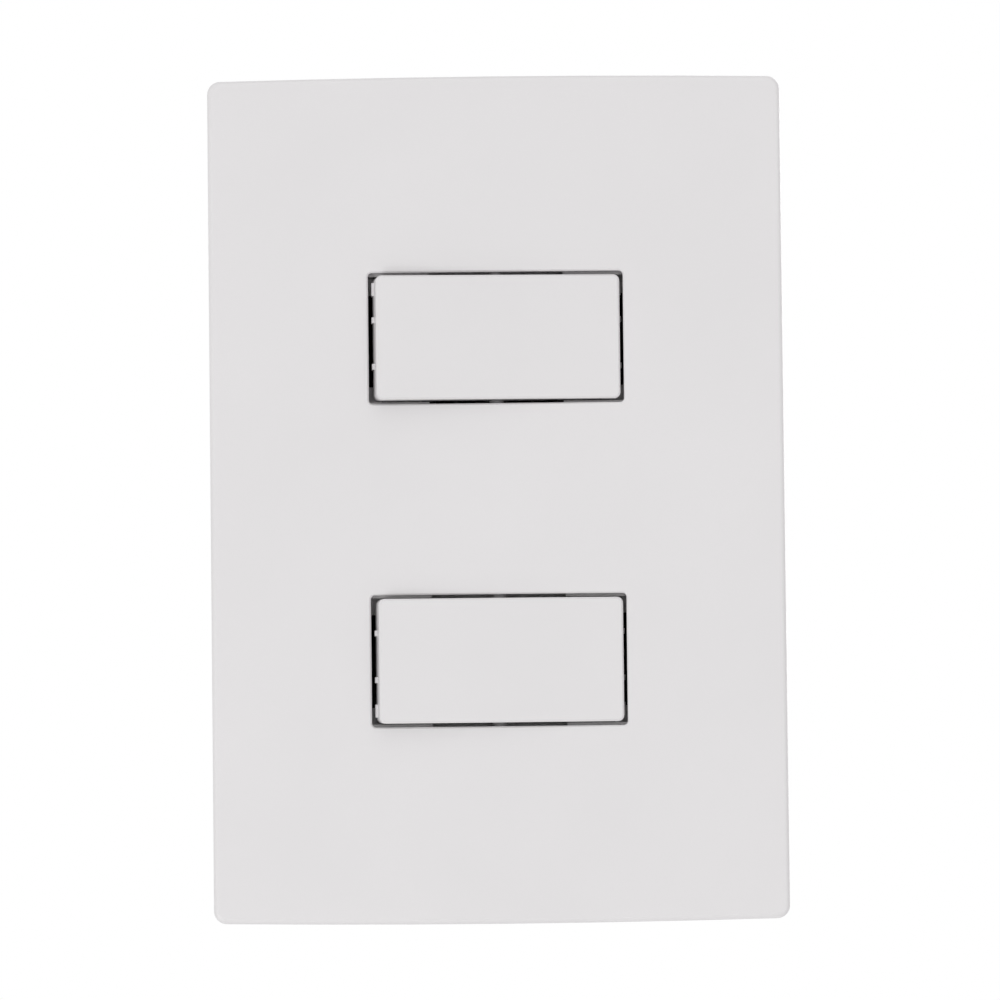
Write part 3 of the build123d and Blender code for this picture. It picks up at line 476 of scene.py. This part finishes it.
def terminal_screw(node, material):
    """A clamp screw with its thread and a slotted, chamfered head, in place of the plain solid."""
    low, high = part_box(node)
    radius = (high[0] - low[0]) / 2
    length = high[2] - low[2]
    height = TERMINAL_HEAD_HEIGHT
    root = TERMINAL_THREAD_RADIUS - TERMINAL_THREAD_DEPTH
    profile = [
        (0, 0),
        (radius * 0.86, 0),
        (radius * 0.95, height * 0.07),
        (radius, height * 0.2),
        (radius, height * 0.92),
        (radius * 0.97, height),
        (root, height),
        (root, height + 2 * OVERLAP),
        (0, height + 2 * OVERLAP),
    ]
    head = to_object("head", turned(profile), material)
    slot = bmesh.new()
    size = (2.4 * radius, TERMINAL_SLOT_WIDTH, 2 * TERMINAL_SLOT_DEPTH)
    bmesh.ops.create_cube(slot, size=1.0, matrix=Matrix.Diagonal((*size, 1.0)))
    cut(head, slot)
    thread = to_object(
        "thread",
        threaded(
            TERMINAL_THREAD_RADIUS,
            TERMINAL_THREAD_DEPTH,
            TERMINAL_THREAD_PITCH,
            height + OVERLAP,
            length,
        ),
        material,
    )
    inner = length - TERMINAL_POINT_OVERLAP
    point = to_object(
        "point", turned([(0, inner), (root, inner), (root, length), (0, length)]), material
    )
    screw = join([head, thread, point], node + "_threaded")
    screw.data.transform(
        Matrix.Translation(((low[0] + high[0]) / 2, (low[1] + high[1]) / 2, low[2]))
    )
    return screw


def on_line(pivot, line):
    """Takes a piece built up along Z to the plunger's line, from the rocker's pivot."""
    tilt = Vector((0, 1, 0)).rotation_difference(line).to_matrix().to_4x4()
    return Matrix.Translation(pivot) @ tilt @ Matrix.Rotation(-pi / 2, 4, "X")


def round_plunger(material, name, pivot, line):
    """The moulded plunger, with a round nose and a broken edge at its other end."""
    centre = PLUNGER_END - PLUNGER_RADIUS
    edge = PLUNGER_EDGE_SHARE * PLUNGER_RADIUS
    nose = [
        (PLUNGER_RADIUS * cos(angle), centre + PLUNGER_RADIUS * sin(angle))
        for angle in (pi / 2 * k / PLUNGER_NOSE_STEPS for k in range(PLUNGER_NOSE_STEPS))
    ]
    root = [(PLUNGER_RADIUS - edge, PLUNGER_START), (PLUNGER_RADIUS, PLUNGER_START + edge)]
    piece = to_object(name, turned([(0, PLUNGER_START)] + root + nose + [(0, PLUNGER_END)]), material)
    piece.data.transform(on_line(pivot, line))
    return piece


def coil(material, name, pivot, line):
    """The plunger's spring: round wire, with closed ends that rest against their seats."""
    start, end = SPRING_START + SPRING_WIRE, PLUNGER_START - SPRING_WIRE
    turns = SPRING_TURNS + 2 * SPRING_DEAD_TURNS
    steps = int(turns * SPRING_STEPS)
    place = on_line(pivot, line)

    def along(turn):
        """How far up the coil is after so many turns: slow over the closed ends, steady between."""
        slow = 2 * SPRING_WIRE
        middle = end - start - 2 * slow
        rise_now = min(turn / SPRING_DEAD_TURNS, 1.0) * slow
        rise_now += min(max(turn - SPRING_DEAD_TURNS, 0.0) / SPRING_TURNS, 1.0) * middle
        rise_now += max(turn - SPRING_DEAD_TURNS - SPRING_TURNS, 0.0) / SPRING_DEAD_TURNS * slow
        return start + rise_now

    body = bmesh.new()
    rings = []
    for step in range(steps + 1):
        turn = turns * step / steps
        angle = tau * turn
        outward = Vector((cos(angle), sin(angle), 0))
        centre = outward * SPRING_COIL + Vector((0, 0, along(turn)))
        ring = []
        for side in range(SPRING_SIDES):
            around = tau * side / SPRING_SIDES
            offset = outward * cos(around) + Vector((0, 0, 1)) * sin(around)
            ring.append(body.verts.new(place @ (centre + offset * SPRING_WIRE)))
        rings.append(ring)
    for low, high in zip(rings, rings[1:]):
        for side in range(SPRING_SIDES):
            after = (side + 1) % SPRING_SIDES
            body.faces.new((low[side], low[after], high[after], high[side]))
    body.faces.new(rings[0])
    body.faces.new(rings[-1])
    return to_object(name, body, material)


def dress(frame, materials):
    """Gives every node its material, and puts finer screws, plungers and springs in place of theirs."""
    slots = {part["node"]: part["material_slot"] for part in frame["record"]["subparts"]}
    for node, piece in frame["nodes"].items():
        piece.data.materials.clear()
        piece.data.materials.append(materials[slots[node]])
    for node in ("mounting_screw_top", "mounting_screw_bottom"):
        screw = box_screw(node, materials[slots[node]])
        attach(screw, "frame")
        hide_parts(node)
    for module in MODULES:
        for node in (module + "_common_screw", module + "_line_screw"):
            screw = terminal_screw(node, materials[slots[node]])
            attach(screw, "frame")
            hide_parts(node)
        dress_plunger(frame, materials, slots, module)


def dress_plunger(frame, materials, slots, module):
    """The finer plunger and spring of one module, on the line of the plunger's joint."""
    joints = {joint["name"]: joint for joint in frame["joints"]}
    pivot = Vector(joints[module + "_rocker_pivot"]["pos_m"])
    line = -Vector(joints[module + "_plunger_slide"]["axis"])
    node = module + "_plunger"
    plunger = round_plunger(materials[slots[node]], node + "_round", pivot, line)
    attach(plunger, module + "_plunger_body")
    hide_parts(node)
    node = module + "_plunger_spring"
    spring = coil(materials[slots[node]], node + "_coil", pivot, line)
    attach(spring, module + "_rocker_body")
    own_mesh(spring)
    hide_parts(node)


# Stage

def camera():
    forward = Vector((0, cos(CAMERA_ELEVATION), -sin(CAMERA_ELEVATION)))
    right = forward.cross(Vector((0, 0, 1))).normalized()
    up = right.cross(forward)
    rolled_right = right * cos(CAMERA_ROLL) + up * sin(CAMERA_ROLL)
    rolled_up = up * cos(CAMERA_ROLL) - right * sin(CAMERA_ROLL)
    data = bpy.data.cameras.new("camera")
    data.sensor_width = CAMERA_SENSOR
    data.lens = CAMERA_LENS
    data.clip_start = 0.01
    shot = bpy.data.objects.new("camera", data)
    axes = Matrix((rolled_right, rolled_up, -forward)).transposed().to_4x4()
    shot.matrix_world = Matrix.Translation(CAMERA_TARGET - forward * CAMERA_DISTANCE) @ axes
    bpy.context.scene.collection.objects.link(shot)
    bpy.context.scene.camera = shot


def seen_directly(tree):
    """1 for rays that show the background: from the camera, in a reflection or through glass."""
    path = tree.nodes.new("ShaderNodeLightPath")
    total = path.outputs["Is Camera Ray"]
    for name in ("Is Glossy Ray", "Is Transmission Ray"):
        either = tree.nodes.new("ShaderNodeMath")
        either.operation = "MAXIMUM"
        tree.links.new(total, either.inputs[0])
        tree.links.new(path.outputs[name], either.inputs[1])
        total = either.outputs["Value"]
    return total


def world():
    """White where it is seen, and an even soft light on the object."""
    sky = bpy.data.worlds.new("world")
    sky.use_nodes = True
    bpy.context.scene.world = sky
    tree = sky.node_tree
    light = tree.nodes["Background"]
    light.inputs["Color"].default_value = (1, 1, 1, 1)
    light.inputs["Strength"].default_value = WORLD_FILL
    seen = tree.nodes.new("ShaderNodeBackground")
    seen.inputs["Color"].default_value = (1, 1, 1, 1)
    seen.inputs["Strength"].default_value = 1.0
    mix = tree.nodes.new("ShaderNodeMixShader")
    tree.links.new(seen_directly(tree), mix.inputs["Fac"])
    tree.links.new(light.outputs["Background"], mix.inputs[1])
    tree.links.new(seen.outputs["Background"], mix.inputs[2])
    tree.links.new(mix.outputs["Shader"], tree.nodes["World Output"].inputs["Surface"])


def lamp(name, place, size, watts):
    """A square soft lamp that faces the object."""
    data = bpy.data.lights.new(name, "AREA")
    data.shape = "SQUARE"
    data.size = size
    data.energy = watts
    piece = bpy.data.objects.new(name, data)
    piece.matrix_world = Matrix.Translation(place) @ (
        (-Vector(place)).to_track_quat("-Z", "Y").to_matrix().to_4x4()
    )
    bpy.context.scene.collection.objects.link(piece)


def floor():
    """A pale floor well below the object. It takes the object's shadow and is otherwise near white."""
    plane = bmesh.new()
    half = FLOOR_HALF_WIDTH
    outline = ((-half, -half), (half, -half), (half, half), (-half, half))
    plane.faces.new([plane.verts.new((x, y, -FLOOR_DROP)) for x, y in outline])
    material, tree, shader = new_material("floor")
    grain = spread(tree, noise(tree, FLOOR_GRAIN, detail=3), 0.0, 1.0)
    tone = blend_colours(tree, grain, shade(FLOOR_COLOUR, 0.99), FLOOR_COLOUR)
    tree.links.new(tone, shader.inputs["Base Color"])
    shader.inputs["Roughness"].default_value = 0.8
    glow = tree.nodes.new("ShaderNodeEmission")
    glow.inputs["Color"].default_value = (1, 1, 1, 1)
    share = tree.nodes.new("ShaderNodeMath")
    share.operation = "MULTIPLY"
    share.inputs[1].default_value = FLOOR_WHITENING
    tree.links.new(seen_directly(tree), share.inputs[0])
    mix = tree.nodes.new("ShaderNodeMixShader")
    tree.links.new(share.outputs["Value"], mix.inputs["Fac"])
    tree.links.new(shader.outputs["BSDF"], mix.inputs[1])
    tree.links.new(glow.outputs["Emission"], mix.inputs[2])
    tree.links.new(mix.outputs["Shader"], tree.nodes["Material Output"].inputs["Surface"])
    to_object("floor", plane, material)


for leftover in list(bpy.data.objects):
    bpy.data.objects.remove(leftover)
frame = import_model()
dress(frame, make_materials())
camera()
world()
for name, place, size, watts in LAMPS:
    lamp(name, place, size, watts)
floor()
bpy.context.scene.view_settings.view_transform = "Standard"
